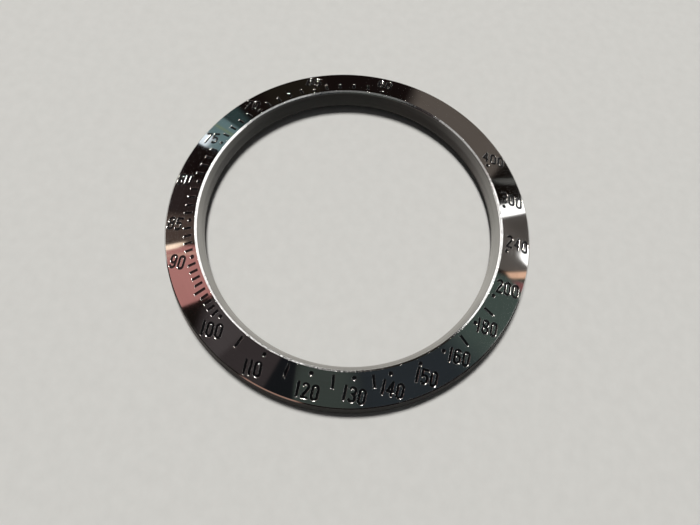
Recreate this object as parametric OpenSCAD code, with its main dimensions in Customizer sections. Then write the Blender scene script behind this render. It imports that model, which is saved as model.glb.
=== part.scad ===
// Fixed tachymeter bezel of a chronograph: one turned and polished steel ring with a
// sloping face, its scale cut into the face and filled with black lacquer.
// The axis of the ring is Z, the ring lies on Z = 0, and the 60 mark points along +Y.

/* [Ring] */
// Outside diameter, at the foot of the outer wall
ring_d = 39; // [38:0.1:41]
// Height of the ring at its crest
ring_h = 2.4; // [2.2:0.05:3]
// How far the outer wall leans in between its foot and the face
wall_lean = 0.3; // [0.1:0.05:0.5]
// Width of the face, seen from above, from the crest to the top of the outer wall
face_w = 3.25; // [2.8:0.05:3.7]
// Fall of the face towards the outside, in degrees
face_slope = 17; // [12:0.5:20]
// Width of the polished bevel between the face and the outer wall
edge_bevel = 0.12; // [0.05:0.01:0.2]
// Width of the chamfer inside the crest
crest_chamfer = 0.23; // [0.1:0.01:0.35]
// Drop of the chamfer inside the crest
crest_drop = 0.2; // [0.1:0.01:0.35]

/* [Bore and underside] */
// Height of the straight land at the foot of the inner wall, which grips the crystal's gasket
land_h = 0.3; // [0.2:0.05:0.6]
// How far the inner wall opens between the land and the crest chamfer
inner_taper = 0.42; // [0.1:0.02:0.6]
// Width of the ring's foot outside the seat, which presses over the rim of the case
seat_wall = 2.6; // [1.9:0.05:3]
// Depth of the seat
seat_depth = 0.5; // [0.4:0.05:0.7]
// Width and height of the relief in the corner of the seat
seat_relief = 0.12; // [0.06:0.01:0.15]
// Chamfer on the edges of the underside and of the land
foot_chamfer = 0.12; // [0.05:0.01:0.15]

/* [Engraving] */
// Depth of the engraving under the face
recess_depth = 0.22; // [0.12:0.02:0.3]
// How far the lacquer stays below the face
lacquer_drop = 0.08; // [0.04:0.01:0.1]
// Width of the numerals' strokes
stroke = 0.2; // [0.14:0.01:0.24]
// Height of the digits
digit_h = 1.42; // [1.32:0.02:1.6]
// Width of the digits
digit_w = 0.72; // [0.64:0.02:0.76]
// Width that the digit 1 takes up
one_w = 0.32; // [0.24:0.02:0.4]
// Gap between neighbouring digits
digit_gap = 0.19; // [0.12:0.01:0.24]

/* [Scale] */
// Diameter of the dots
dot_d = 0.44; // [0.3:0.02:0.5]
// Distance of the dots' centres from the crest
dot_inset = 0.52; // [0.45:0.01:0.6]
// Width of the ticks
tick_w = 0.19; // [0.12:0.01:0.24]
// Distance of the ticks' inner ends from the crest
tick_inset = 0.35; // [0.3:0.01:0.5]
// Length of the ticks for single units
tick_len = 0.8; // [0.5:0.05:1]
// Length of the ticks between the numerals
long_tick_len = 1.15; // [0.9:0.05:1.4]
// Distance of the circle through the numerals' centres from the crest
numeral_inset = 2.1; // [1.9:0.02:2.2]
// Room between the digits on that circle and the outer edge of the face
numeral_margin = 0.44; // [0.36:0.02:0.6]

/* [Hidden] */
$fn = 48;
// A value V of the scale is 3600 / V seconds of the minute's turn, so it stands at turn / V degrees.
turn = 21600;
// Each numeral: its value, how far its centre is turned past its dot, in degrees, and how far
// its centre is moved out from the numerals' circle. Wide numerals at the sides step off their dots.
NUMERALS = [
    [60, 0.4, -0.15], [65, 1, -0.05], [70, -0.4, -0.15], [75, 0.4, -0.05], [80, 0.3, 0.1],
    [85, -0.3, 0.03], [90, 0.3, 0], [100, -1.2, -0.2], [110, 1.2, 0], [120, 0, 0],
    [130, 0, -0.1], [140, 0.4, -0.2], [150, -0.3, -0.25], [160, -3.4, -0.3], [180, -1.8, -0.4],
    [200, -5.1, -0.5], [240, -3.9, -0.4], [300, -2.7, -0.4], [400, -2, -0.36],
];
// Values with a short tick: every unit from 61 to 99 that has no numeral or long tick
UNIT_TICKS = [for (v = [61:99]) if (v % 5 != 0) v];
// Values with a long tick: halfway between the numerals from 90 to 140 and from 160 to 200
LONG_TICKS = concat([for (v = [95:10:135]) v], [for (v = [170:20:190]) v]);
STEEL = [0.78, 0.78, 0.77];
LACQUER = [0.03, 0.03, 0.035];
// Radii, from the outside in: the face, the seat's wall and the land
edge_r = ring_d / 2 - wall_lean;
face_r = edge_r - edge_bevel;
crest_r = edge_r - face_w;
seat_r = ring_d / 2 - seat_wall;
land_r = crest_r - crest_chamfer - inner_taper;
// The marks fill the face from the crest to the numerals' margin, and grow or shrink with it
mark_size = face_w / (numeral_inset + digit_h / 2 + numeral_margin);
// The digits are drawn along the middle of their strokes, in a box this wide and high
glyph_w = digit_w - stroke;
glyph_h = digit_h - stroke;
bowl_r = glyph_w / 2;
// Height of the waist of 3 and 8, of the bowl of 5, 6 and 9, and of the bar of 4
waist_y = 0.53 * glyph_h;
bowl_h = 0.6 * glyph_h;
bar_y = 0.3 * glyph_h;
// Angle at which the open bowls end, and the place of the stem of 4
bowl_end = 150;
stem_x = 0.76 * glyph_w;
// Height of the face, or of a layer this far below it, at a radius
function face_z(r, below = 0) = ring_h - (r - crest_r) * tan(face_slope) - below;

// Section of the ring, from the crest round the outside, the underside and the bore
module ring_section() {
    polygon([
        [crest_r, ring_h],
        [face_r, face_z(face_r)],
        [edge_r, face_z(edge_r) - edge_bevel],
        [ring_d / 2, foot_chamfer],
        [ring_d / 2 - foot_chamfer, 0],
        [seat_r + foot_chamfer, 0],
        [seat_r, foot_chamfer],
        [seat_r, seat_depth - seat_relief],
        [seat_r + seat_relief, seat_depth - seat_relief],
        [seat_r + seat_relief, seat_depth],
        [land_r + foot_chamfer, seat_depth],
        [land_r, seat_depth + foot_chamfer],
        [land_r, seat_depth + foot_chamfer + land_h],
        [crest_r - crest_chamfer, ring_h - crest_drop],
    ]);
}

// A layer of the face between two depths below it
module face_layer(top, bottom) {
    rotate_extrude($fn = 180) polygon([
        [crest_r, face_z(crest_r, top)],
        [face_r, face_z(face_r, top)],
        [face_r, face_z(face_r, bottom)],
        [crest_r, face_z(crest_r, bottom)],
    ]);
}

// What the flat shapes below cut out of a layer of the face
module in_face(top, bottom) {
    intersection() {
        face_layer(top, bottom);
        linear_extrude(height = ring_h + 1) children();
    }
}

// A straight stroke between two points
module bar(x0, y0, x1, y1) {
    translate([x0, y0]) rotate(atan2(y1 - y0, x1 - x0))
        translate([0, -stroke / 2]) square([norm([x1 - x0, y1 - y0]), stroke]);
}

// The round end of a stroke
module tip(x, y) {
    translate([x, y]) circle(d = stroke);
}

// A curved stroke round a centre at height y, from one angle to another, 180 degrees at most
module bow(y, from, to) {
    reach = 2 * (bowl_r + stroke);
    translate([bowl_r, y]) intersection() {
        difference() {
            circle(bowl_r + stroke / 2);
            circle(bowl_r - stroke / 2);
        }
        polygon([[0, 0], for (a = [from, (from + to) / 2, to]) reach * [cos(a), sin(a)]]);
    }
}

// The round end of a bow
module bow_tip(y, angle) {
    tip(bowl_r + bowl_r * cos(angle), y + bowl_r * sin(angle));
}

// A closed upright loop between two heights
module loop(bottom, top) {
    bow(bottom + bowl_r, 180, 360);
    bar(0, bottom + bowl_r, 0, top - bowl_r);
    bar(glyph_w, bottom + bowl_r, glyph_w, top - bowl_r);
    bow(top - bowl_r, 0, 180);
}

module one() {
    x = (one_w - stroke) / 2;
    bar(x, 0, x, glyph_h);
    tip(x, 0);
    tip(x, glyph_h);
}

module two() {
    // The slanted stroke runs from the lower left corner and touches the bowl
    reach = norm([bowl_r, glyph_h - bowl_r]);
    slant = atan2(glyph_h - bowl_r, bowl_r) - asin(bowl_r / reach);
    run = sqrt(reach * reach - bowl_r * bowl_r);
    bow(glyph_h - bowl_r, slant - 90, bowl_end);
    bow_tip(glyph_h - bowl_r, bowl_end);
    bar(0, 0, run * cos(slant), run * sin(slant));
    bar(0, 0, glyph_w, 0);
    tip(0, 0);
    tip(glyph_w, 0);
}

module three() {
    bow(glyph_h - bowl_r, 0, bowl_end);
    bow_tip(glyph_h - bowl_r, bowl_end);
    bar(glyph_w, waist_y + bowl_r, glyph_w, glyph_h - bowl_r);
    bow(waist_y + bowl_r, -90, 0);
    tip(bowl_r, waist_y);
    bow(waist_y - bowl_r, 0, 90);
    bar(glyph_w, bowl_r, glyph_w, waist_y - bowl_r);
    bow(bowl_r, -bowl_end, 0);
    bow_tip(bowl_r, -bowl_end);
}

module four() {
    bar(stem_x, 0, stem_x, glyph_h);
    bar(0, bar_y, stem_x, glyph_h);
    bar(0, bar_y, glyph_w, bar_y);
    tip(stem_x, 0);
    tip(stem_x, glyph_h);
    tip(0, bar_y);
    tip(glyph_w, bar_y);
}

module five() {
    bar(0, glyph_h, glyph_w, glyph_h);
    bar(0, bowl_h - bowl_r / 2, 0, glyph_h);
    tip(glyph_w, glyph_h);
    tip(0, glyph_h);
    tip(0, bowl_h - bowl_r / 2);
    bow(bowl_h - bowl_r, 0, 120);
    bow_tip(bowl_h - bowl_r, 120);
    bar(glyph_w, bowl_r, glyph_w, bowl_h - bowl_r);
    bow(bowl_r, -bowl_end, 0);
    bow_tip(bowl_r, -bowl_end);
}

module six() {
    loop(0, bowl_h);
    bar(0, bowl_h - bowl_r, 0, glyph_h - bowl_r);
    bow(glyph_h - bowl_r, 180 - bowl_end, 180);
    bow_tip(glyph_h - bowl_r, 180 - bowl_end);
}

module seven() {
    // The slanted stroke and its round ends share one turned frame, so that they meet exactly
    foot = [-2 / 3 * glyph_w, -glyph_h];
    bar(0, glyph_h, glyph_w, glyph_h);
    tip(0, glyph_h);
    translate([glyph_w, glyph_h]) rotate(atan2(foot.y, foot.x)) {
        bar(0, 0, norm(foot), 0);
        tip(0, 0);
        tip(norm(foot), 0);
    }
}

module eight() {
    loop(0, waist_y);
    loop(waist_y, glyph_h);
}

module digit(d) {
    if (d == 0) loop(0, glyph_h);
    if (d == 1) one();
    if (d == 2) two();
    if (d == 3) three();
    if (d == 4) four();
    if (d == 5) five();
    if (d == 6) six();
    if (d == 7) seven();
    if (d == 8) eight();
    if (d == 9) translate([glyph_w, glyph_h]) rotate(180) six();
}

function digits(v) = v < 10 ? [v] : concat(digits(floor(v / 10)), [v % 10]);
function digit_width(d) = d == 1 ? one_w : digit_w;
// Width of the first n digits of a list, with the gap after each
function run_width(list, n) = n == 0 ? 0 : run_width(list, n - 1) + digit_width(list[n - 1]) + digit_gap;

// Flat shapes of the scale
module numeral_shape(n) {
    list = digits(n[0]);
    width = run_width(list, len(list)) - digit_gap;
    angle = turn / n[0] + n[1];
    radius = crest_r + mark_size * (numeral_inset + n[2]);
    translate(radius * [sin(angle), cos(angle)]) scale([mark_size, mark_size])
        translate([-width / 2, -digit_h / 2])
            for (i = [0 : len(list) - 1])
                translate([run_width(list, i) + stroke / 2, stroke / 2]) digit(list[i]);
}

module dots_shape() {
    for (n = NUMERALS) rotate(-turn / n[0])
        translate([0, crest_r + mark_size * dot_inset]) circle(d = mark_size * dot_d);
}

module ticks_shape(values, length) {
    for (v = values) rotate(-turn / v)
        translate([-mark_size * tick_w / 2, crest_r + mark_size * tick_inset])
            square(mark_size * [tick_w, length]);
}

// The steel ring, with the whole scale engraved
module bezel_ring() {
    color(STEEL) difference() {
        rotate_extrude($fn = 180) ring_section();
        in_face(-recess_depth, recess_depth) {
            for (n = NUMERALS) numeral_shape(n);
            dots_shape();
            ticks_shape(UNIT_TICKS, tick_len);
            ticks_shape(LONG_TICKS, long_tick_len);
        }
    }
}

// Lacquer laid into the engraving
module inlay() {
    color(LACQUER) in_face(lacquer_drop, recess_depth) children();
}

bezel_ring();
inlay() dots_shape();  // index_dots
inlay() ticks_shape(UNIT_TICKS, tick_len);  // unit_ticks
inlay() ticks_shape(LONG_TICKS, long_tick_len);  // long_ticks
for (n = NUMERALS)
    inlay() numeral_shape(n);
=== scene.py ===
import math

import bpy
import numpy as np
from mathutils import Matrix, Vector
from mathutils.geometry import delaunay_2d_cdt
from mathutils.kdtree import KDTree


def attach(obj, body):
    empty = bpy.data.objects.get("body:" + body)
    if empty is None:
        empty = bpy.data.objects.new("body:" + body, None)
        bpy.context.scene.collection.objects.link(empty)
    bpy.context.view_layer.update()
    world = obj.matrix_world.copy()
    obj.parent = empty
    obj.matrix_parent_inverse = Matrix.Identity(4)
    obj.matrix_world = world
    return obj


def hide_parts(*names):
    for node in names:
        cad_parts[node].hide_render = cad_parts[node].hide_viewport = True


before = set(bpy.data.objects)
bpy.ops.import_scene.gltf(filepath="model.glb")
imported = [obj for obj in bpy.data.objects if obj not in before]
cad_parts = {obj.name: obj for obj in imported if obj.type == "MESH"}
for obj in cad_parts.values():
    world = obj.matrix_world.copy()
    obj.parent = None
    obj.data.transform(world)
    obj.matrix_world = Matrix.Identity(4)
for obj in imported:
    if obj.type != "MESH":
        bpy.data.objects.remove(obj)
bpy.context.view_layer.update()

scene = bpy.context.scene
MM = 0.001

# Sizes in mm
# The ring, as it is packed
RING_D, RING_H, WALL_LEAN = 39.0, 2.4, 0.3
FACE_W, FACE_SLOPE, EDGE_BEVEL = 3.25, math.radians(17), 0.12
CREST_CHAMFER, CREST_DROP = 0.23, 0.2
LAND_H, INNER_TAPER = 0.3, 0.42
SEAT_WALL, SEAT_DEPTH, SEAT_RELIEF, FOOT_CHAMFER = 2.6, 0.5, 0.12, 0.12
RECESS_DEPTH, LACQUER_DROP = 0.22, 0.08
STROKE, DIGIT_H, DIGIT_W, ONE_W, DIGIT_GAP = 0.2, 1.42, 0.72, 0.32, 0.19
DOT_D, DOT_INSET = 0.44, 0.52
TICK_W, TICK_INSET, TICK_LEN, LONG_TICK_LEN = 0.19, 0.35, 0.8, 1.15
NUMERAL_INSET = 2.1
# A number stands at this many degrees over its value, clockwise from +Y
TURN = 21600

# Worked out from them, with the angles at which the open bows of the digits end
EDGE_R = RING_D / 2 - WALL_LEAN
FACE_R = EDGE_R - EDGE_BEVEL
CREST_R = EDGE_R - FACE_W
SEAT_R = RING_D / 2 - SEAT_WALL
LAND_R = CREST_R - CREST_CHAMFER - INNER_TAPER
GLYPH_W, GLYPH_H = DIGIT_W - STROKE, DIGIT_H - STROKE
BOWL_R = GLYPH_W / 2
WAIST_Y, BOWL_H, BAR_Y = 0.53 * GLYPH_H, 0.6 * GLYPH_H, 0.3 * GLYPH_H
BOWL_END, FIVE_END, STEM_X, SEVEN_X = 150, 120, 0.76 * GLYPH_W, GLYPH_W / 3

# value: (turned past its dot in degrees, moved out from the numerals' circle)
NUMERALS = {
    60: (0.4, -0.15), 65: (1, -0.05), 70: (-0.4, -0.15), 75: (0.4, -0.05), 80: (0.3, 0.1),
    85: (-0.3, 0.03), 90: (0.3, 0), 100: (-1.2, -0.2), 110: (1.2, 0), 120: (0, 0),
    130: (0, -0.1), 140: (0.4, -0.2), 150: (-0.3, -0.25), 160: (-3.4, -0.3), 180: (-1.8, -0.4),
    200: (-5.1, -0.5), 240: (-3.9, -0.4), 300: (-2.7, -0.4), 400: (-2, -0.36),
}
UNIT_TICKS = [v for v in range(61, 100) if v % 5]
LONG_TICKS = [*range(95, 136, 10), 170, 190]

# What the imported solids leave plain: the cutter's taper, which opens each recess at the face, the
# bright rim that polishing leaves round it, the lacquer's lip, and the small rounds on the edges
CUTTER_FLARE, FOUR_FLARE, DOT_FLARE = 0.045, 0.035, 0.01
TICK_SIDE_FLARE, TICK_END_FLARE, TICK_END_RIM = 0.05, 0.04, 0.022
RIM_W, RIM_EXTRA, RIM_DEPTH, RIM_TILT = 0.01, 0.05, 0.015, math.radians(55)
WALL_INSET, LACQUER_LIP = 0.035, 0.005
CREST_ROUND, FACE_ROUND, EDGE_ROUND, HEEL_ROUND = 0.0015, 0.05, 0.03, 0.05
FOOT_ROUND, LAND_ROUND, WALL_ROUND, CHAMFER_ROUND = 0.03, 0.06, 2.2, 0.5
# How far the inner wall swells in halfway up, and how deep buffing has left the outer bevel
WALL_SWELL, BUFFED_BEVEL = 0.045, 0.055
# The tool that cut the chamfer chattered at the near side: where along Y the chatter starts and is
# full, and how deep its marks and the clean ones are
CHATTER_START, CHATTER_FULL, CHATTER_MARK, CLEAN_MARK = -13.6, -15, 0.045, 0.012

# How finely the ring is drawn: steps round it and in each round, rows of points on the face, degrees of
# a stroke's bow to a side, and sides of a stroke's end and of a dot
AROUND, ROUND_STEPS, FACE_ROWS, BOW_STEP, TIP_SIDES, DOT_SIDES = 480, 4, 8, 10, 24, 32
# Points closer than these are one, in the skin and in a fill; and how far the turned ring may be off
COINCIDENT, FILL_TOLERANCE, SECTION_ERROR = 5e-5, 1e-5, 1e-3
# Corners flatter than these are shaded as one surface, on the recess walls and on the lacquer
SMOOTH_WALL, SMOOTH_LACQUER = math.radians(35), math.radians(30)
# How short a sharp corner's mitre is held, and how quickly a rim's extra width fades round a recess
LEAST_MITRE, RIM_FADE = 0.35, 3


def face_height(radius):
    return RING_H - (radius - CREST_R) * math.tan(FACE_SLOPE)


def on_face(points, below):
    """Flat points of the scale, laid on the cone this far below the face."""
    points = np.asarray(points, float).reshape(-1, 2)
    radius = np.hypot(points[:, 0], points[:, 1])
    return np.column_stack([points, face_height(radius) - below])


# Materials
def linear(hex_colour):
    """An sRGB hex value as linear red, green, blue and alpha."""
    parts = [int(hex_colour[i:i + 2], 16) / 255 for i in (1, 3, 5)]
    return [p / 12.92 if p <= 0.04045 else ((p + 0.055) / 1.055) ** 2.4 for p in parts] + [1.0]


def add(tree, kind, values=None, links=None, **settings):
    """Adds a node with its settings, its sockets' values and its links."""
    node = tree.nodes.new(kind)
    for name, value in settings.items():
        setattr(node, name, value)
    for socket, value in (values or {}).items():
        node.inputs[socket].default_value = value
    for socket, source in (links or {}).items():
        tree.links.new(source, node.inputs[socket])
    return node


def new_material(name, **sockets):
    """A material of one shader with constant sockets, and its tree and shader."""
    material = bpy.data.materials.new(name)
    material.use_nodes = True
    shader = material.node_tree.nodes["Principled BSDF"]
    for socket, value in sockets.items():
        shader.inputs[socket.replace("_", " ")].default_value = value
    return material, material.node_tree, shader


def ring_coordinates(tree):
    """Where a point lies along the turn, in mm of arc, and its radius and height in mm."""
    place = add(tree, "ShaderNodeTexCoord").outputs["Object"]
    xyz = add(tree, "ShaderNodeSeparateXYZ", links={0: place})
    flat = {0: xyz.outputs["X"], 1: xyz.outputs["Y"]}
    angle = add(tree, "ShaderNodeMath", links=flat, operation="ARCTAN2")
    arc = add(tree, "ShaderNodeMath", {1: RING_D / 2}, {0: angle.outputs[0]}, operation="MULTIPLY")
    in_plan = add(tree, "ShaderNodeVectorMath", {1: (1 / MM, 1 / MM, 0)}, {0: place}, operation="MULTIPLY")
    radius = add(tree, "ShaderNodeVectorMath", links={0: in_plan.outputs[0]}, operation="LENGTH")
    height = add(tree, "ShaderNodeMath", {1: 1 / MM}, {0: xyz.outputs["Z"]}, operation="MULTIPLY")
    return arc.outputs[0], radius.outputs["Value"], height.outputs[0]


def stretched_noise(tree, along, across, level, size, detail=2.0):
    """Noise on ring coordinates, with the size in mm of its grain on each."""
    place = add(tree, "ShaderNodeCombineXYZ", links={0: along, 1: across, 2: level})
    scale = tuple(1 / length for length in size)
    scaled = add(tree, "ShaderNodeVectorMath", {1: scale}, {0: place.outputs[0]}, operation="MULTIPLY")
    return add(tree, "ShaderNodeTexNoise", {"Scale": 1.0, "Detail": detail}, {"Vector": scaled.outputs[0]})


def steel(name, tint, dark, smooth, rough, mark, mark_depth, blotch):
    """Stainless steel. Fine marks run with the turning, and slow blotches show where it was wiped.

    The sizes of a mark and of a blotch are in mm: along the turn, across it and upright."""
    material, tree, shader = new_material(name, Metallic=1.0)
    arc, radius, height = ring_coordinates(tree)
    marks = stretched_noise(tree, arc, radius, height, mark).outputs[0]
    blotches = stretched_noise(tree, arc, radius, height, blotch, detail=3.0).outputs[0]
    both = add(tree, "ShaderNodeMath", links={0: marks, 1: blotches}, operation="MULTIPLY")
    twice = add(tree, "ShaderNodeMath", {1: 2.0}, {0: both.outputs[0]}, operation="MULTIPLY", use_clamp=True)
    worn = twice.outputs[0]
    tints = {"A": linear(tint), "B": linear(dark)}
    colour = add(tree, "ShaderNodeMix", tints, {"Factor": worn}, data_type="RGBA")
    finish = add(tree, "ShaderNodeMapRange", {"To Min": smooth, "To Max": rough}, {"Value": worn})
    bump = add(tree, "ShaderNodeBump", {"Strength": 1.0, "Distance": mark_depth * MM}, {"Height": marks})
    tree.links.new(colour.outputs["Result"], shader.inputs["Base Color"])
    tree.links.new(finish.outputs[0], shader.inputs["Roughness"])
    tree.links.new(bump.outputs[0], shader.inputs["Normal"])
    return material


def lay_rings(material):
    """Makes a steel's fine turning rings spread a light across them, up and down a wall."""
    tree = material.node_tree
    shader = tree.nodes["Principled BSDF"]
    shader.inputs["Anisotropic"].default_value = 1.0
    shader.inputs["Anisotropic Rotation"].default_value = 0.25
    rings = add(tree, "ShaderNodeTangent", direction_type="RADIAL", axis="Z")
    tree.links.new(rings.outputs[0], shader.inputs["Tangent"])


def let_chatter(material):
    """Deepens a steel's marks towards the near side."""
    tree = material.node_tree
    place = add(tree, "ShaderNodeTexCoord").outputs["Object"]
    xyz = add(tree, "ShaderNodeSeparateXYZ", links={0: place})
    depth = add(tree, "ShaderNodeMapRange", {
        "From Min": CHATTER_START * MM, "From Max": CHATTER_FULL * MM,
        "To Min": CLEAN_MARK * MM, "To Max": CHATTER_MARK * MM,
    }, {"Value": xyz.outputs["Y"]})
    bump = next(node for node in tree.nodes if node.type == "BUMP")
    tree.links.new(depth.outputs[0], bump.inputs["Distance"])


# Stainless steel buffed to a mirror: it shows the room with hardly any haze. The buff's hairlines run
# round the ring. They are drawn coarser than they are, a ninth of a mm apart
mirror_steel = steel(
    "mirror_polished_steel", "#CBCAC8", "#C2C0BD", smooth=0.03, rough=0.07,
    mark=(4, 1 / 9, 1 / 9), mark_depth=0.00002, blotch=(10 / 3, 5 / 3, 5 / 3))
# The same steel as the lathe left it in the bore, on the outer wall and underneath. Its tint is painted far
# darker
# than bare steel: painted shade, in place of the dark floor and shadow that these walls would mirror. Its
# fine rings spread a light up and down the wall, so it is bright where they face the light and dark
# elsewhere. They are drawn coarser than they are, a twelfth of a mm apart, so that they show
turned_steel_painted_dark = steel(
    "satin_turned_steel", "#6D6C6A", "#61605D", smooth=0.6, rough=0.68,
    mark=(50 / 3, 1 / 12, 1 / 14), mark_depth=0.0012, blotch=(5, 2, 2))
lay_rings(turned_steel_painted_dark)
# The chamfer, cut last with a sharp tool and left bright. The tool chattered a little on the near side,
# every 0.3 mm, so the line of light breaks into sparks there
chamfer_steel = steel(
    "bright_cut_steel", "#D2D1CF", "#C6C4C1", smooth=0.08, rough=0.14,
    mark=(1 / 3.4, 1 / 2, 1 / 2), mark_depth=CLEAN_MARK, blotch=(5 / 2, 5 / 3, 5 / 3))
let_chatter(chamfer_steel)
# Recess walls as the engraving cutter leaves them, bright and slightly rough. Its marks are drawn
# coarser than they are, a quarter of a mm apart, so that the walls glint unevenly
engraved_steel = steel(
    "engraved_steel", "#D0CECB", "#B8B5B1", smooth=0.16, rough=0.26,
    mark=(1 / 4, 1 / 5, 1 / 5), mark_depth=0.0015, blotch=(5 / 4, 5 / 4, 5 / 4))


def lacquer():
    """Black enamel lacquer, baked: deep black with a clean gloss and a faint orange-peel skin."""
    peel, peel_depth, dust = 0.4 * MM, 0.004 * MM, MM / 9
    material, tree, shader = new_material("black_enamel_lacquer", IOR=1.5)
    place = add(tree, "ShaderNodeTexCoord").outputs["Object"]
    skin = add(tree, "ShaderNodeTexNoise", {"Scale": 1 / peel, "Detail": 2.0}, {"Vector": place}).outputs[0]
    specks = add(tree, "ShaderNodeTexNoise", {"Scale": 1 / dust, "Detail": 3.0}, {"Vector": place}).outputs[0]
    tints = {"A": linear("#08080A"), "B": linear("#131214")}
    colour = add(tree, "ShaderNodeMix", tints, {"Factor": specks}, data_type="RGBA")
    gloss = add(tree, "ShaderNodeMapRange", {"To Min": 0.06, "To Max": 0.2}, {"Value": specks})
    bump = add(tree, "ShaderNodeBump", {"Strength": 1.0, "Distance": peel_depth}, {"Height": skin})
    tree.links.new(colour.outputs["Result"], shader.inputs["Base Color"])
    tree.links.new(gloss.outputs[0], shader.inputs["Roughness"])
    tree.links.new(bump.outputs[0], shader.inputs["Normal"])
    return material


black_lacquer = lacquer()
MIRROR, TURNED, CHAMFER, ENGRAVED = range(4)
RING_MATERIALS = [mirror_steel, turned_steel_painted_dark, chamfer_steel, engraved_steel]


# Strokes of the scale
def disc(x, y, radius, start=0.0, sides=TIP_SIDES):
    turns = np.radians(start) + np.arange(sides) * 2 * np.pi / sides
    return np.column_stack([x + radius * np.cos(turns), y + radius * np.sin(turns)])


def bar(x0, y0, x1, y1, width):
    along = np.array([x1 - x0, y1 - y0])
    side = np.array([-along[1], along[0]]) / np.hypot(*along) * width / 2
    a, b = np.array([x0, y0]), np.array([x1, y1])
    return np.array([a - side, b - side, b + side, a + side])


def bow(x, y, start, end, width):
    turns = np.radians(np.linspace(start, end, max(2, round(abs(end - start) / BOW_STEP)) + 1))
    ring = np.column_stack([np.cos(turns), np.sin(turns)])
    centre = np.array([x, y])
    return np.vstack([centre + (BOWL_R + width / 2) * ring, centre + (BOWL_R - width / 2) * ring[::-1]])


def bowl(bottom, top):
    """A closed stroke of two bows and two bars."""
    low, high = bottom + BOWL_R, top - BOWL_R
    return [
        ("bow", low, 180, 360), ("bar", 0, low, 0, high),
        ("bar", GLYPH_W, low, GLYPH_W, high), ("bow", high, 0, 180),
    ]


def line(x0, y0, x1, y1):
    """A straight stroke with two round ends."""
    turn = math.degrees(math.atan2(y1 - y0, x1 - x0))
    return [("bar", x0, y0, x1, y1), ("tip", x0, y0, turn), ("tip", x1, y1, turn)]


def end_of_bow(y, angle):
    turn = math.radians(angle)
    return ("tip", BOWL_R + BOWL_R * math.cos(turn), y + BOWL_R * math.sin(turn), angle)


def two():
    slant = math.atan2(GLYPH_H - BOWL_R, BOWL_R) - math.asin(BOWL_R / math.hypot(BOWL_R, GLYPH_H - BOWL_R))
    run = math.sqrt(math.hypot(BOWL_R, GLYPH_H - BOWL_R) ** 2 - BOWL_R ** 2)
    top = GLYPH_H - BOWL_R
    return [
        ("bow", top, math.degrees(slant) - 90, BOWL_END), end_of_bow(top, BOWL_END),
        ("bar", 0, 0, run * math.cos(slant), run * math.sin(slant)), ("tip", 0, 0, math.degrees(slant)),
        *line(0, 0, GLYPH_W, 0),
    ]


def three():
    upper, middle, lower = GLYPH_H - BOWL_R, WAIST_Y + BOWL_R, WAIST_Y - BOWL_R
    return [
        ("bow", upper, 0, BOWL_END), end_of_bow(upper, BOWL_END), ("bar", GLYPH_W, middle, GLYPH_W, upper),
        ("bow", middle, -90, 0), ("tip", BOWL_R, WAIST_Y, 0), ("bow", lower, 0, 90),
        ("bar", GLYPH_W, BOWL_R, GLYPH_W, lower),
        ("bow", BOWL_R, -BOWL_END, 0), end_of_bow(BOWL_R, -BOWL_END),
    ]


def five():
    upper, foot = BOWL_H - BOWL_R, BOWL_H - BOWL_R / 2
    return [
        *line(0, GLYPH_H, GLYPH_W, GLYPH_H), *line(0, foot, 0, GLYPH_H),
        ("bow", upper, 0, FIVE_END), end_of_bow(upper, FIVE_END), ("bar", GLYPH_W, BOWL_R, GLYPH_W, upper),
        ("bow", BOWL_R, -BOWL_END, 0), end_of_bow(BOWL_R, -BOWL_END),
    ]


def six():
    top = GLYPH_H - BOWL_R
    return [
        *bowl(0, BOWL_H), ("bar", 0, BOWL_H - BOWL_R, 0, top),
        ("bow", top, 180 - BOWL_END, 180), end_of_bow(top, 180 - BOWL_END),
    ]


ONE_X = (ONE_W - STROKE) / 2
DIGITS = {
    0: bowl(0, GLYPH_H), 1: line(ONE_X, 0, ONE_X, GLYPH_H), 2: two(), 3: three(),
    4: line(STEM_X, 0, STEM_X, GLYPH_H) + line(0, BAR_Y, STEM_X, GLYPH_H) + line(0, BAR_Y, GLYPH_W, BAR_Y),
    5: five(), 6: six(), 7: line(0, GLYPH_H, GLYPH_W, GLYPH_H) + line(GLYPH_W, GLYPH_H, SEVEN_X, 0),
    8: bowl(0, WAIST_Y) + bowl(WAIST_Y, GLYPH_H), 9: six(),
}


def stroke_outline(stroke, width):
    kind, *sizes = stroke
    if kind == "bar":
        return bar(*sizes, width)
    if kind == "tip":
        x, y, turn = sizes
        return disc(x, y, width / 2, turn)
    y, start, end = sizes
    return bow(BOWL_R, y, start, end, width)


def numeral_outlines(value):
    """The strokes of one upright number at the face, each a closed outline in the plane of the scale."""
    digits = [int(c) for c in str(value)]
    widths = [ONE_W if d == 1 else DIGIT_W for d in digits]
    full = sum(widths) + DIGIT_GAP * (len(digits) - 1)
    turned, moved = NUMERALS[value]
    angle, radius = math.radians(TURN / value + turned), CREST_R + NUMERAL_INSET + moved
    middle = radius * np.array([math.sin(angle), math.cos(angle)])
    corner = middle - np.array([full / 2, DIGIT_H / 2]) + STROKE / 2
    outlines = []
    for digit, digit_w in zip(digits, widths):
        # a four keeps its small opening, so it flares less
        width = STROKE + 2 * (FOUR_FLARE if digit == 4 else CUTTER_FLARE)
        for stroke in DIGITS[digit]:
            outline = stroke_outline(stroke, width)
            if digit == 9:
                outline = np.array([GLYPH_W, GLYPH_H]) - outline
            outlines.append(outline + corner)
        corner = corner + np.array([digit_w + DIGIT_GAP, 0])
    return outlines


def turned_to(outline, value):
    """An outline drawn along +Y, turned to its place on the scale."""
    angle = math.radians(TURN / value)
    c, s = math.cos(angle), math.sin(angle)
    return outline @ np.array([[c, -s], [s, c]])


def dot_outline():
    return disc(0, CREST_R + DOT_INSET, DOT_D / 2 + DOT_FLARE, sides=DOT_SIDES)


def tick_outline(length, wider=0.0, longer=0.0):
    inner = CREST_R + TICK_INSET
    return bar(0, inner - wider, 0, inner + length + longer, TICK_W + 2 * wider)


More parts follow.
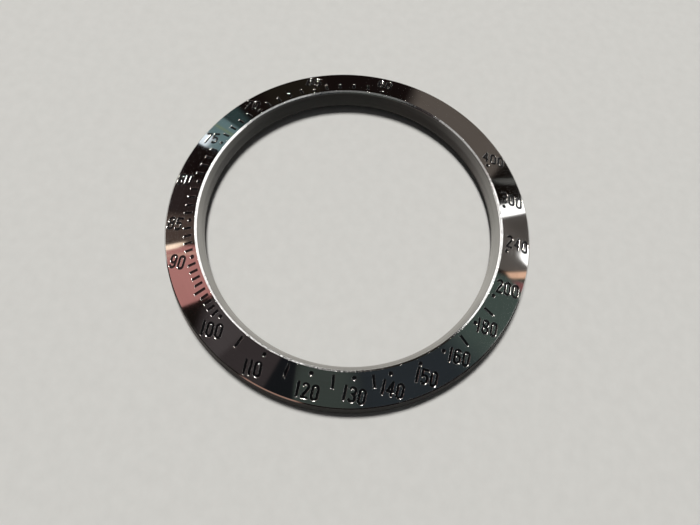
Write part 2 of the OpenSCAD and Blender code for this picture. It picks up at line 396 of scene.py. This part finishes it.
def tick_levels(length):
    """A tick's outlines at the face, at the foot of its rim and at its bottom."""
    return (
        tick_outline(length, TICK_SIDE_FLARE, TICK_END_FLARE),
        tick_outline(length, TICK_SIDE_FLARE - RIM_W, TICK_END_FLARE - TICK_END_RIM),
        tick_outline(length),
    )


# Flat fills and insets
def edges_of(outline):
    """The edges of a closed outline, each from one point to the next."""
    return list(zip(outline, outline[1:] + outline[:1]))


def runs_left(outline):
    """Whether a closed outline runs counter-clockwise."""
    x, y = outline.T
    return np.sum(x * np.roll(y, -1) - np.roll(x, -1) * y) > 0


def left_of_sides(outline):
    """The direction to the left of each side of a closed outline."""
    ahead = np.roll(outline, -1, 0) - outline
    ahead /= np.linalg.norm(ahead, axis=1)[:, None]
    return np.column_stack([-ahead[:, 1], ahead[:, 0]])


def fill(points, outlines):
    """Triangles between closed outlines, as far as the points reach.

    Gives the points, the triangles, the given points that each point comes from, and the outlines
    that hold each triangle."""
    found = delaunay_2d_cdt([Vector(p) for p in points], [], outlines, 0, FILL_TOLERANCE, True)
    return np.array([list(p) for p in found[0]]), found[2], found[3], found[5]


def fill_loops(points, loops):
    """Triangles of the area that loops enclose, with islands left out, as indices of points."""
    outlines = [loop if runs_left(points[loop]) else loop[::-1] for loop in loops]
    _, triangles, origins, inside = fill(points, outlines)
    kept = [t for t, held in zip(triangles, inside) if len(held) % 2]
    return [[origins[i][0] for i in t] for t in kept]


def inset(points, loops, distance, extra=0.0):
    """Moves each loop's points to the loop's left by a distance, mitred at the corners.

    The extra distance counts where a loop's left looks to the middle of the ring."""
    moved = points.copy()
    for loop in loops:
        corners = points[loop]
        left = left_of_sides(corners)
        before = np.roll(left, 1, 0)
        mitre = (left + before) / np.maximum(1 + np.sum(left * before, axis=1), LEAST_MITRE)[:, None]
        inwards = -np.sum(mitre * corners, axis=1) / np.linalg.norm(corners, axis=1)
        moved[loop] = corners + (distance + extra * np.clip(inwards, 0, 1) ** RIM_FADE)[:, None] * mitre
    return moved


def dot_levels():
    """A dot's outlines at the foot of its rim and at its bottom."""
    dot = dot_outline()
    whole = [list(range(len(dot)))]
    return inset(dot, whole, RIM_W, RIM_EXTRA), inset(dot, whole, WALL_INSET)


def mesh_object(name, points, faces, materials, kinds=None, normals=None):
    """A mesh in metres from points in mm, with its materials, and its normals where they are given."""
    mesh = bpy.data.meshes.new(name)
    mesh.from_pydata((np.asarray(points) * MM).tolist(), [], faces)
    for material in materials:
        mesh.materials.append(material)
    mesh.polygons.foreach_set("use_smooth", [True] * len(mesh.polygons))
    if kinds is not None:
        mesh.polygons.foreach_set("material_index", kinds)
    if normals is not None:
        mesh.normals_split_custom_set(normals)
    mesh.update()
    piece = bpy.data.objects.new(name, mesh)
    scene.collection.objects.link(piece)
    return piece


def lacquer_solid(name, rim, points, loops):
    """Lacquer in a recess: a lip that wets the walls up to their rim, a flat middle, sides and a floor."""
    middle = inset(points, loops, LACQUER_LIP)
    n = len(points)
    spots = np.vstack([on_face(rim, RIM_DEPTH), on_face(middle, LACQUER_DROP), on_face(points, RECESS_DEPTH)])
    faces = [[i + n for i in t] for t in fill_loops(middle, loops)]
    faces += [[i + 2 * n for i in t][::-1] for t in fill_loops(points, loops)]
    for a, b in [edge for loop in loops for edge in edges_of(loop)]:
        faces.append([a, b, b + n, a + n])
        faces.append([b, a, a + 2 * n, b + 2 * n])
    piece = mesh_object(name, spots, faces, [black_lacquer])
    piece.data.set_sharp_from_angle(angle=SMOOTH_LACQUER)
    return piece


# Geometry nodes
def new_tree(name, **inputs):
    """A geometry tree with a geometry input and output and the named inputs."""
    tree = bpy.data.node_groups.new(name, "GeometryNodeTree")
    tree.interface.new_socket("Geometry", in_out="INPUT", socket_type="NodeSocketGeometry")
    tree.interface.new_socket("Geometry", in_out="OUTPUT", socket_type="NodeSocketGeometry")
    for label, kind in inputs.items():
        tree.interface.new_socket(label.replace("_", " "), in_out="INPUT", socket_type="NodeSocket" + kind)
    return tree, tree.nodes.new("NodeGroupInput").outputs, tree.nodes.new("NodeGroupOutput").inputs


def grown(name, source, tree, **values):
    """Runs a geometry tree on a source object and keeps the result as a plain mesh."""
    modifier = source.modifiers.new(tree.name, "NODES")
    modifier.node_group = tree
    for item in tree.interface.items_tree:
        label = item.name.replace(" ", "_")
        if item.in_out == "INPUT" and label in values:
            modifier[item.identifier] = values[label]
    evaluated = source.evaluated_get(bpy.context.evaluated_depsgraph_get())
    mesh = bpy.data.meshes.new_from_object(evaluated)
    mesh.name = name
    source.modifiers.clear()
    bpy.data.objects.remove(source)
    piece = bpy.data.objects.new(name, mesh)
    scene.collection.objects.link(piece)
    return piece


def end_tree(tree, given, result, geometry):
    """Makes a tree's instances real and gives them their material."""
    real = add(tree, "GeometryNodeRealizeInstances", links={0: geometry})
    dressed = {"Geometry": real.outputs[0], "Material": given["Material"]}
    finish = add(tree, "GeometryNodeSetMaterial", links=dressed)
    tree.links.new(finish.outputs[0], result["Geometry"])


def turning_tree():
    """Turns an open section, drawn as (distance from the middle radius, height), about Z."""
    inputs = {"Middle_Radius": "Float", "Steps_Around": "Int", "Material": "Material"}
    tree, given, result = new_tree("turned_section", **inputs)
    section = add(tree, "GeometryNodeMeshToCurve", links={0: given["Geometry"]})
    path = {"Resolution": given["Steps Around"], "Radius": given["Middle Radius"]}
    circle = add(tree, "GeometryNodeCurvePrimitiveCircle", links=path)
    profile = {"Curve": circle.outputs[0], "Profile Curve": section.outputs[0]}
    turned = add(tree, "GeometryNodeCurveToMesh", links=profile)
    end_tree(tree, given, result, turned.outputs[0])
    return tree


def scale_tree():
    """Sets one mark at each speed of the scale: a speed stands at so many degrees over its value."""
    tree, given, result = new_tree("marks_on_scale", Mark="Object", Turn="Float", Material="Material")
    speed = add(tree, "GeometryNodeInputNamedAttribute", {"Name": "speed"}, data_type="FLOAT")
    share = {0: given["Turn"], 1: speed.outputs["Attribute"]}
    degrees = add(tree, "ShaderNodeMath", links=share, operation="DIVIDE")
    angle = add(tree, "ShaderNodeMath", {1: -math.pi / 180}, {0: degrees.outputs[0]}, operation="MULTIPLY")
    turn = add(tree, "ShaderNodeCombineXYZ", links={"Z": angle.outputs[0]})
    mark = add(tree, "GeometryNodeObjectInfo", links={"Object": given["Mark"]})
    placed = add(tree, "GeometryNodeInstanceOnPoints", links={
        "Points": given["Geometry"], "Instance": mark.outputs["Geometry"], "Rotation": turn.outputs[0]})
    end_tree(tree, given, result, placed.outputs[0])
    return tree


# The ring
def rounded_section():
    """The ring's section as (radius, height), clockwise from the crest, with its rounds and normals.

    Also tells which finish each stretch has that starts at a point."""
    wall_foot = np.array([LAND_R, SEAT_DEPTH + FOOT_CHAMFER + LAND_H])
    wall_top = np.array([CREST_R - CREST_CHAMFER, RING_H - CREST_DROP])
    up = (wall_top - wall_foot) / np.linalg.norm(wall_top - wall_foot)
    swollen = (wall_foot + wall_top) / 2 + WALL_SWELL * np.array([-up[1], up[0]])
    corners = [  # radius, height, round, finish of the side that follows
        (CREST_R, RING_H, CREST_ROUND, MIRROR),
        (FACE_R, face_height(FACE_R), FACE_ROUND, MIRROR),
        (EDGE_R, face_height(EDGE_R) - BUFFED_BEVEL, EDGE_ROUND, TURNED),
        (RING_D / 2, FOOT_CHAMFER, HEEL_ROUND, TURNED),
        (RING_D / 2 - FOOT_CHAMFER, 0, FOOT_ROUND, TURNED),
        (SEAT_R + FOOT_CHAMFER, 0, FOOT_ROUND, TURNED),
        (SEAT_R, FOOT_CHAMFER, FOOT_ROUND, TURNED),
        (SEAT_R, SEAT_DEPTH - SEAT_RELIEF, FOOT_ROUND, TURNED),
        (SEAT_R + SEAT_RELIEF, SEAT_DEPTH - SEAT_RELIEF, FOOT_ROUND, TURNED),
        (SEAT_R + SEAT_RELIEF, SEAT_DEPTH, FOOT_ROUND, TURNED),
        (LAND_R + FOOT_CHAMFER, SEAT_DEPTH, FOOT_ROUND, TURNED),
        (LAND_R, SEAT_DEPTH + FOOT_CHAMFER, FOOT_ROUND, TURNED),
        (LAND_R, SEAT_DEPTH + FOOT_CHAMFER + LAND_H, LAND_ROUND, TURNED),
        (*swollen, WALL_ROUND, TURNED),
        (CREST_R - CREST_CHAMFER, RING_H - CREST_DROP, CHAMFER_ROUND, CHAMFER),
    ]
    points, normals, finishes = [], [], []
    for i, (radius, height, round_r, finish) in enumerate(corners):
        here = np.array([radius, height])
        back = np.array(corners[i - 1][:2]) - here
        ahead = np.array(corners[(i + 1) % len(corners)][:2]) - here
        back, ahead = back / np.linalg.norm(back), ahead / np.linalg.norm(ahead)
        turn = math.pi - math.acos(np.clip(back @ ahead, -1, 1))
        reach = round_r * math.tan(turn / 2)
        start_normal, end_normal = np.array([back[1], -back[0]]), np.array([-ahead[1], ahead[0]])
        outwards = 1 if back[0] * ahead[1] - back[1] * ahead[0] > 0 else -1
        centre = here + back * reach - start_normal * round_r * outwards
        before = corners[i - 1][3]
        for s in range(ROUND_STEPS + 1):
            share = s / ROUND_STEPS
            normal = start_normal * math.sin((1 - share) * turn) + end_normal * math.sin(share * turn)
            normal /= np.linalg.norm(normal)
            points.append(centre + normal * round_r * outwards)
            normals.append(normal)
            if share == 1:
                finishes.append(finish)
            elif finish == CHAMFER and share < 0.5:
                # the bright cut turns satin halfway in its round into the wall
                finishes.append(before)
            else:
                finishes.append(max(before, finish))
    return np.array(points), np.array(normals), finishes


def turned_part():
    """The ring without its face: bevel, outer wall, underside, seat, land, inner wall and chamfer.

    Gives the points, the faces with their finish and normals, and the face's two radii."""
    section, normals, finishes = rounded_section()
    inner_r, outer_r = section[ROUND_STEPS, 0], section[ROUND_STEPS + 1, 0]
    start = ROUND_STEPS + 1
    section, normals, finishes = [np.roll(np.array(a), -start, 0) for a in (section, normals, finishes)]
    middle = (LAND_R + RING_D / 2) / 2
    # Curve to Mesh lays a section's X outwards and its Y downwards on a circle
    drawn = np.column_stack([section[:, 0] - middle, -section[:, 1], 0 * section[:, 0]])
    mesh = bpy.data.meshes.new("ring_section")
    mesh.from_pydata((drawn * MM).tolist(), [(i, i + 1) for i in range(len(drawn) - 1)], [])
    source = bpy.data.objects.new("ring_section", mesh)
    scene.collection.objects.link(source)
    sizes = {"Middle_Radius": middle * MM, "Steps_Around": AROUND}
    turned = grown("turned_ring", source, turning_tree(), Material=mirror_steel, **sizes)
    points = np.array([v.co for v in turned.data.vertices]) / MM
    outlines = [list(p.vertices) for p in turned.data.polygons]
    bpy.data.objects.remove(turned)

    # each point's place on the section gives its normal and its finish
    radius, height = np.hypot(points[:, 0], points[:, 1]), points[:, 2]
    off = np.hypot(radius[:, None] - section[None, :, 0], height[:, None] - section[None, :, 1])
    near = np.argmin(off, axis=1)
    error = np.max(np.min(off, axis=1))
    assert error < SECTION_ERROR, f"the turned ring is {error:.4f} mm off its section"
    out = points[:, :2] / radius[:, None]
    facing = np.column_stack([out * normals[near, 0][:, None], normals[near, 1]])
    corner = points[outlines[0]]
    if np.cross(corner[1] - corner[0], corner[2] - corner[0]) @ facing[outlines[0][0]] < 0:
        outlines = [f[::-1] for f in outlines]
    faces = [(f, int(finishes[min(near[f])]), [facing[i] for i in f]) for f in outlines]
    return points, faces, inner_r, outer_r


# The scale
def recesses():
    """Every recess of the scale: whose it is, its outline at the face, and a tick's outlines below it."""
    found = [(f"lacquer_{v}", outline, ()) for v in NUMERALS for outline in numeral_outlines(v)]
    found += [("dots", turned_to(dot_outline(), v), ()) for v in NUMERALS]
    ticks = [("unit_ticks", TICK_LEN, v) for v in UNIT_TICKS]
    ticks += [("long_ticks", LONG_TICK_LEN, v) for v in LONG_TICKS]
    for owner, length, v in ticks:
        top, *below = [turned_to(level, v) for level in tick_levels(length)]
        found.append((owner, top, below))
    return found


def face_outlines(inner_r, outer_r):
    """The flat outlines that the face is filled between: its outer and inner edge, then every recess.

    Gives their points, with more between them that keep the triangles even, the outlines, each one's
    owner, and the places below a tick's points, at the foot of its rim and at its bottom."""
    turns = np.arange(AROUND) * 2 * np.pi / AROUND
    circle = np.column_stack([np.cos(turns), np.sin(turns)])
    points = [outer_r * circle, inner_r * circle]
    outlines = [list(range(AROUND)), list(range(AROUND, 2 * AROUND))]
    owners = ["face", "bore"]
    places_below = {}
    count = 2 * AROUND
    for owner, outline, below in recesses():
        ids = list(range(count, count + len(outline)))
        way = 1 if runs_left(outline) else -1
        points.append(outline[::way])
        places_below.update(zip(ids, zip(*[level[::way] for level in below])))
        outlines.append(ids)
        owners.append(owner)
        count += len(outline)
    for k, row in enumerate(np.linspace(inner_r, outer_r, FACE_ROWS + 1)[1:-1]):
        shifted = turns + (np.pi / AROUND if k % 2 == 0 else 0)
        points.append(row * np.column_stack([np.cos(shifted), np.sin(shifted)]))
    return np.vstack(points), outlines, owners, places_below


def closed_loops(after):
    """Follows edges, given as the point after each point, round every loop that they make."""
    found = []
    while after:
        here = next(iter(after))
        loop = []
        while here in after:
            loop.append(here)
            here = after.pop(here)
        found.append(loop)
    return found


def cut_face(inner_r, outer_r):
    """The plan of the face: its points, and the triangles that no recess opens.

    Gives as well the loops round each owner's recesses, with the recess on the left, and the places
    below a tick's points."""
    points, outlines, owners, places_below = face_outlines(inner_r, outer_r)
    face, bore = 0, 1
    plan, triangles, origins, inside = fill(points, outlines)
    of_face, owner_of = [], {}
    for t, held in zip(triangles, inside):
        if bore in held or face not in held:
            continue
        cut = [owners[i] for i in held if i > bore]
        if cut:
            owner_of.update((edge, cut[0]) for edge in edges_of(t))
        else:
            of_face.append(list(t))
    face_edges = {edge for t in of_face for edge in edges_of(t)}
    loops = {}
    for loop in closed_loops({a: b for a, b in owner_of if (b, a) in face_edges}):
        loops.setdefault(owner_of[(loop[0], loop[1])], []).append(loop)
    assert len(loops["dots"]) == len(NUMERALS), "a dot runs into a numeral"
    below = {i: places_below[s] for i, sources in enumerate(origins) for s in sources if s in places_below}
    return plan, of_face, loops, below


def recess_sides(plan, loops, cone):
    """The rims and the walls of recesses, each as its level, its edge and its corners' normals."""
    found = []
    for loop in loops:
        left = left_of_sides(plan[loop])
        before = np.roll(left, 1, 0)
        smooth = np.sum(left * before, axis=1) > math.cos(SMOOTH_WALL)
        shared = left + before
        shared /= np.linalg.norm(shared, axis=1)[:, None]
        for k, (a, b) in enumerate(edges_of(loop)):
            after = (k + 1) % len(loop)
            side_a = shared[k] if smooth[k] else left[k]
            side_b = shared[after] if smooth[after] else left[k]
            # the rim rolls over from the face; the wall below it is upright
            rolled = [[*(side * math.cos(RIM_TILT)), math.sin(RIM_TILT)] for side in (side_b, side_a)]
            upright = [[*side, 0] for side in (side_a, side_b, side_b, side_a)]
            found += [(0, a, b, [cone[a], cone[b], *rolled]), (1, a, b, upright)]
    return found


def one_skin(points, faces):
    """Joins the points that coincide, and drops unused ones and the faces that have no area left."""
    used = sorted({i for ids, _, _ in faces for i in ids})
    places = KDTree(len(used))
    for i in used:
        places.insert(points[i], i)
    places.balance()
    index, kept, joined = {}, [], []
    for i in used:
        if i not in index:
            for _, same, _ in places.find_range(points[i], COINCIDENT):
                index.setdefault(same, len(kept))
            kept.append(points[i])
    for ids, finish, normals in faces:
        moved = [index[i] for i in ids]
        corners = [k for k, i in enumerate(moved) if i not in moved[:k]]
        if len(corners) > 2:
            joined.append(([moved[k] for k in corners], finish, [normals[k] for k in corners]))
    return kept, joined


def build_ring():
    """The steel ring with every recess cut into its face, as one closed skin.

    Gives the recesses' points at the foot of their rims and at their bottoms, and their loops."""
    points, faces, inner_r, outer_r = turned_part()
    plan, of_face, loops, below = cut_face(inner_r, outer_r)
    every = [loop for owned in loops.values() for loop in owned]
    rims, bottoms = inset(plan, every, RIM_W, RIM_EXTRA), inset(plan, every, WALL_INSET)
    for i, (rim, bottom) in below.items():
        rims[i], bottoms[i] = rim, bottom
    base, n = len(points), len(plan)
    points = np.vstack([points, on_face(plan, 0), on_face(rims, RIM_DEPTH), on_face(bottoms, RECESS_DEPTH)])
    out = plan / np.hypot(plan[:, 0], plan[:, 1])[:, None]
    cone = np.column_stack([out * math.sin(FACE_SLOPE), np.full(n, math.cos(FACE_SLOPE))])
    faces += [([base + i for i in t], MIRROR, [cone[i] for i in t]) for t in of_face]
    for level, a, b, normals in recess_sides(plan, every, cone):
        top, low = base + level * n, base + (level + 1) * n
        faces.append(([top + a, top + b, low + b, low + a], ENGRAVED, normals))
    for owned in loops.values():
        for t in fill_loops(bottoms, owned):
            faces.append(([base + 2 * n + i for i in t], ENGRAVED, [cone[i] for i in t]))
    points, faces = one_skin(points, faces)
    outlines, finishes, normals = zip(*faces)
    normals = [normal for corners in normals for normal in corners]
    ring = mesh_object("steel_ring", points, outlines, RING_MATERIALS, finishes, normals)
    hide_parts("bezel_ring")
    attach(ring, "root")
    return rims, bottoms, loops


def build_numerals(rims, bottoms, loops):
    """The lacquer in each number, a piece for each."""
    for value in NUMERALS:
        name = f"lacquer_{value}"
        ids = sorted({i for loop in loops[name] for i in loop})
        place = {i: k for k, i in enumerate(ids)}
        own_loops = [[place[i] for i in loop] for loop in loops[name]]
        piece = lacquer_solid(name, rims[ids], bottoms[ids], own_loops)
        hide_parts(f"numeral_{value}")
        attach(piece, "root")


def build_marks(name, node, levels, speeds):
    """Lacquer in a row of equal marks, one at each speed."""
    mark = lacquer_solid(name + "_one", *levels, [list(range(len(levels[0])))])
    mesh = bpy.data.meshes.new(name + "_places")
    mesh.from_pydata([(0, 0, 0)] * len(speeds), [], [])
    mesh.attributes.new("speed", "FLOAT", "POINT").data.foreach_set("value", [float(s) for s in speeds])
    places = bpy.data.objects.new(name + "_places", mesh)
    scene.collection.objects.link(places)
    piece = grown(name, places, scale_tree(), Mark=mark, Turn=float(TURN), Material=black_lacquer)
    bpy.data.objects.remove(mark)
    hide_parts(node)
    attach(piece, "root")


build_numerals(*build_ring())
build_marks("lacquer_dots", "index_dots", dot_levels(), list(NUMERALS))
build_marks("lacquer_unit_ticks", "unit_ticks", tick_levels(TICK_LEN)[1:], UNIT_TICKS)
build_marks("lacquer_long_ticks", "long_ticks", tick_levels(LONG_TICK_LEN)[1:], LONG_TICKS)


# Studio
def build_floor():
    """A large pale sheet of matt paper under the ring, with its pulp in faint clouds."""
    size, drop, cloud = 900, 0.01, 1.25 * MM
    corners = [(-size, -size, -drop), (size, -size, -drop), (size, size, -drop), (-size, size, -drop)]
    paper, tree, shader = new_material("matt_paper", Roughness=0.9)
    place = add(tree, "ShaderNodeTexCoord").outputs["Object"]
    pulp = add(tree, "ShaderNodeTexNoise", {"Scale": 1 / cloud, "Detail": 4.0}, {"Vector": place})
    tints = {"A": linear("#C9C9C8"), "B": linear("#D3D3D2")}
    colour = add(tree, "ShaderNodeMix", tints, {"Factor": pulp.outputs[0]}, data_type="RGBA")
    tree.links.new(colour.outputs["Result"], shader.inputs["Base Color"])
    floor = mesh_object("floor", corners, [[0, 1, 2, 3]], [paper])


def card(azimuth, width, low, high, shade, strength=1.0, soft=1.0, slant=0.0, climb=0.0, is_round=False):
    """A card that polished steel sees. Azimuth is clockwise from +Y; all sizes are in degrees.

    Slant is how far the card leans sideways for each degree of height, and climb is how far it
    rises for each degree of azimuth."""
    return {
        "azimuth": azimuth, "width": width, "low": low, "high": high, "shade": shade, "strength": strength,
        "soft": soft, "slant": slant, "climb": climb, "is_round": is_round,
    }


# What polished steel sees of the studio; later cards stand in front of earlier ones
CARDS = [
    # the ceiling over the near side, in grey-green and grey-brown panels
    card(176, 44, 25, 85, "#474F4B", soft=16),
    card(93, 50, 30, 85, "#52605B", soft=2),
    card(129, 58, 25, 85, "#32383D", soft=20),
    card(203.1, 11.2, 30, 85, "#1D1F22", slant=0.08),
    card(197.4, 8.4, 53.5, 62.5, "#1D1F22", slant=1.49),
    card(231, 46, 30, 85, "#433D3E", soft=2),
    card(243, 22, 48.4, 85, "#554F50", soft=3),
    card(249, 14, 30, 47, "#1D1816", soft=2),
    # a salmon card with a cream edge at the lower left
    card(291, 13, 10, 60, "#342B2A", soft=3),
    card(281.5, 9, 10, 60, "#5C4E48", soft=2.5),
    card(265.6, 20.4, 36.5, 75, "#D3928D", climb=-0.5),
    card(273.0, 0.8, 31, 65, "#E8B8A6", soft=0.6),
    card(272.1, 1.8, 20, 37.2, "#FFE6CF", 1.9, soft=0.7, slant=0.5),
    # a teal panel and a small window at the upper left
    card(319, 4, 5, 40, "#394B4C", soft=2),
    card(312.5, 10, 5, 40, "#769195", slant=0.3),
    card(314.6, 0.8, 5, 40, "#87997F", soft=0.6, slant=0.35),
    card(309.2, 3.4, 12, 23.0, "#EAF5FF", 1.6, soft=0.6, climb=-0.36),
    card(335, 14, 0, 40, "#26221C", soft=5),
    # the wall behind and the things in front of it, up to the right
    card(36, 12, 0, 45, "#2F2724", soft=3),
    card(26.8, 16, 0, 44.5, "#6D655F", soft=4, slant=1.6),
    card(18.7, 26.5, 0, 45, "#6D655F", soft=5),
    card(40.7, 11, 16, 30, "#16120F", soft=1.6, slant=0.75),
    card(39.7, 2.2, 20, 24.4, "#646462", soft=1.2, slant=-0.9),
    card(57.6, 17.7, 0, 60, "#6A6561"),
    card(57.6, 17.7, 0, 30, "#58534F", soft=3),
    card(46.5, 3.5, 0, 52, "#FFFFFF", 2.5, soft=0.4, slant=0.2),
    card(62.3, 8, 26.2, 32.6, "#FFFFFF", 2.5, soft=0.4, is_round=True),
    card(70.5, 3, 24, 36, "#9D6365", soft=1.5),
    card(66.2, 1.6, 30, 36.4, "#FFCFB0", 1.2, soft=0.6, slant=0.5),
    # a low strip of light all round, which only the bright chamfer catches
    card(62.5, 72, 8, 30.3, "#FFFFFF", 2.0, soft=1.5, climb=0.39),
    card(291, 50, 8, 22.5, "#B9B6B2", soft=1.5, climb=-0.43),
    card(296, 58, 19.9, 24.5, "#FFFFFF", 2.2, soft=1.2, climb=-0.43),
    card(245.5, 45, 22.7, 38.2, "#8D8A86", soft=1.5, climb=-0.23),
    card(245.5, 45, 38.2, 42.2, "#FFFFFF", 0.8, soft=1.5, climb=-0.23),
    card(118, 46, 41.3, 45.3, "#FFFFFF", 0.8, soft=1.5, climb=0.18),
    card(175, 58, 46.5, 50.5, "#FFFFFF", 0.3, soft=2),
    card(17, 32, 5.2, 10.6, "#FFFFFF", 1.8, soft=1.0, climb=0.32),
    card(359.5, 10, 2.2, 8.6, "#FFFFFF", 2, soft=0.6, climb=0.25),
    # a broad low light at the left, for the satin wall opposite
    card(290, 48, 0, 12, "#FFFFFF", 3, soft=6),
    # a pinkish glow low at the near side, which only the outer bevel catches
    card(198, 25, 9, 19, "#BC9585", soft=5),
]
DARK_ROOM = "#1B1413"
DOME, BACKDROP = 0.05, 0.63


def card_mask(tree, azimuth, height, c):
    """One inside a card and zero outside it, for a direction's azimuth and height."""
    level = (c["low"] + c["high"]) / 2
    foot = c["azimuth"] - c["slant"] * level
    middle = add(tree, "ShaderNodeMath", {1: c["slant"], 2: foot}, {0: height}, operation="MULTIPLY_ADD")
    off = add(tree, "ShaderNodeMath", links={0: azimuth, 1: middle.outputs[0]}, operation="SUBTRACT")
    beside = add(tree, "ShaderNodeMath", {1: 180.0, 2: -180.0}, {0: off.outputs[0]}, operation="WRAP")
    aside = beside.outputs[0]
    lower = add(tree, "ShaderNodeMath", {1: level}, {0: height}, operation="SUBTRACT")
    climb = {0: aside, 2: lower.outputs[0]}
    above = add(tree, "ShaderNodeMath", {1: -c["climb"]}, climb, operation="MULTIPLY_ADD").outputs[0]
    half_w, half_h = c["width"] / 2, (c["high"] - c["low"]) / 2
    if c["is_round"]:
        drawn_in = add(tree, "ShaderNodeMath", {1: half_h / half_w}, {0: aside}, operation="MULTIPLY")
        both = add(tree, "ShaderNodeCombineXYZ", links={0: drawn_in.outputs[0], 1: above})
        away = add(tree, "ShaderNodeVectorMath", links={0: both.outputs[0]}, operation="LENGTH")
        reaches = [(away.outputs["Value"], half_h)]
    else:
        reaches = []
        for source, half in ((aside, half_w), (above, half_h)):
            away = add(tree, "ShaderNodeMath", links={0: source}, operation="ABSOLUTE")
            reaches.append((away.outputs[0], half))
    masks = []
    for reach, half in reaches:
        near, far = half - c["soft"] / 2, half + c["soft"] / 2
        fade = add(tree, "ShaderNodeMapRange", {
            "From Min": near, "From Max": far, "To Min": 1.0, "To Max": 0.0,
        }, {"Value": reach}, interpolation_type="SMOOTHSTEP")
        masks.append(fade.outputs[0])
    if c["is_round"]:
        return masks[0]
    return add(tree, "ShaderNodeMath", links=dict(enumerate(masks)), operation="MULTIPLY").outputs[0]


def build_world():
    """A plain dome for matt surfaces, a pale backdrop for the camera, and the cards for polished ones."""
    world = bpy.data.worlds.new("studio")
    scene.world = world
    world.use_nodes = True
    tree = world.node_tree
    tree.nodes.clear()
    direction = add(tree, "ShaderNodeTexCoord").outputs["Generated"]
    xyz = add(tree, "ShaderNodeSeparateXYZ", links={0: direction})
    flat = {0: xyz.outputs["X"], 1: xyz.outputs["Y"]}
    around = add(tree, "ShaderNodeMath", links=flat, operation="ARCTAN2")
    azimuth = add(tree, "ShaderNodeMath", links={0: around.outputs[0]}, operation="DEGREES").outputs[0]
    over = add(tree, "ShaderNodeMath", links={0: xyz.outputs["Z"]}, operation="ARCSINE")
    height = add(tree, "ShaderNodeMath", links={0: over.outputs[0]}, operation="DEGREES").outputs[0]
    room = add(tree, "ShaderNodeRGB")
    room.outputs[0].default_value = linear(DARK_ROOM)
    seen = room.outputs[0]
    for c in CARDS:
        shade = [channel * c["strength"] for channel in linear(c["shade"])[:3]]
        under = {"Factor": card_mask(tree, azimuth, height, c), "A": seen}
        with_card = add(tree, "ShaderNodeMix", {"B": (*shade, 1.0)}, under, data_type="RGBA")
        seen = with_card.outputs["Result"]
    rays = add(tree, "ShaderNodeLightPath").outputs
    dome = add(tree, "ShaderNodeBackground", {"Color": (DOME, DOME, DOME, 1.0)}).outputs[0]
    cards = add(tree, "ShaderNodeBackground", links={"Color": seen}).outputs[0]
    backdrop = add(tree, "ShaderNodeBackground", {"Color": (BACKDROP, BACKDROP, BACKDROP, 1.0)}).outputs[0]
    glossy = add(tree, "ShaderNodeMixShader", links={0: rays["Is Glossy Ray"], 1: dome, 2: cards}).outputs[0]
    shown = add(tree, "ShaderNodeMixShader", links={0: rays["Is Camera Ray"], 1: glossy, 2: backdrop})
    add(tree, "ShaderNodeOutputWorld", links={"Surface": shown.outputs[0]})


def build_lamp(name, azimuth, height, distance, size, power, tint):
    """A soft lamp, wide and high as its size says, that looks at the ring. Lengths are in mm."""
    lamp = bpy.data.lights.new(name, "AREA")
    lamp.shape, lamp.energy = "RECTANGLE", power
    lamp.size, lamp.size_y = size[0] * MM, size[1] * MM
    lamp.color = linear(tint)[:3]
    a, e = math.radians(azimuth), math.radians(height)
    towards = Vector((math.sin(a) * math.cos(e), math.cos(a) * math.cos(e), math.sin(e)))
    piece = bpy.data.objects.new(name, lamp)
    turn = towards.to_track_quat("Z", "Y").to_matrix().to_4x4()
    piece.matrix_world = Matrix.Translation(towards * distance * MM) @ turn
    scene.collection.objects.link(piece)


def build_camera():
    """The photographed view: from above and before the ring, close, with a wide lens."""
    right = Vector((0.973911, 0.221626, 0.048768))
    up = Vector((-0.224859, 0.913529, 0.338973))
    back = Vector((0.030574, -0.341095, 0.939531))
    place = Vector((2.43356, -20.46464, 44.6229))
    sensor_w, view_px, focal_px = 36.0, 700, 450
    lens = bpy.data.cameras.new("camera")
    lens.sensor_width, lens.lens = sensor_w, sensor_w * focal_px / view_px
    lens.clip_start, lens.clip_end = 0.001, 5.0
    camera = bpy.data.objects.new("camera", lens)
    turn = Matrix((right, up, back)).transposed().to_4x4()
    camera.matrix_world = Matrix.Translation(place * MM) @ turn
    scene.collection.objects.link(camera)
    scene.camera = camera


build_floor()
build_world()
build_lamp("key_lamp", azimuth=337, height=62, distance=4200, size=(1200, 760), power=188, tint="#FFFDF8")
build_camera()
scene.view_settings.view_transform = "Standard"
